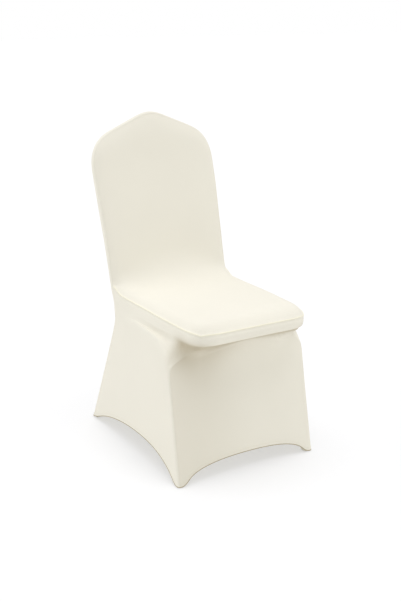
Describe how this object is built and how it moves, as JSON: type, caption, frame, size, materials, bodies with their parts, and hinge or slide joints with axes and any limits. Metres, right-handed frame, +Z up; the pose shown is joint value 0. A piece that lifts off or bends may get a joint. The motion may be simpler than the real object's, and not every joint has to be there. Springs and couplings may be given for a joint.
{
  "type": "fitted stretch chair cover",
  "caption": "Fitted stretch cover for a crown-back banquet chair: hollow cloth shell with a seat, arched hems and pockets for the feet.",
  "frame": {"origin": "on the floor, below the middle of the cover's length and width", "axes": "+X to the right of someone who faces the seat's front, +Y from the seat's front edge to the back, +Z up"},
  "size_m": [0.46, 0.6173, 0.96],
  "materials": {
    "cloth": "matt stretch knit, ivory",
    "foot_pockets": "matt stretch knit with a double sole"
  },
  "bodies": {
    "root": {"front_seat_panel": "cloth", "back_panel": "cloth", "skirt": "cloth", "foot_pocket_front_left": "foot_pockets", "foot_pocket_front_right": "foot_pockets", "foot_pocket_rear_left": "foot_pockets", "foot_pocket_rear_right": "foot_pockets"}
  },
  "joints": []
}
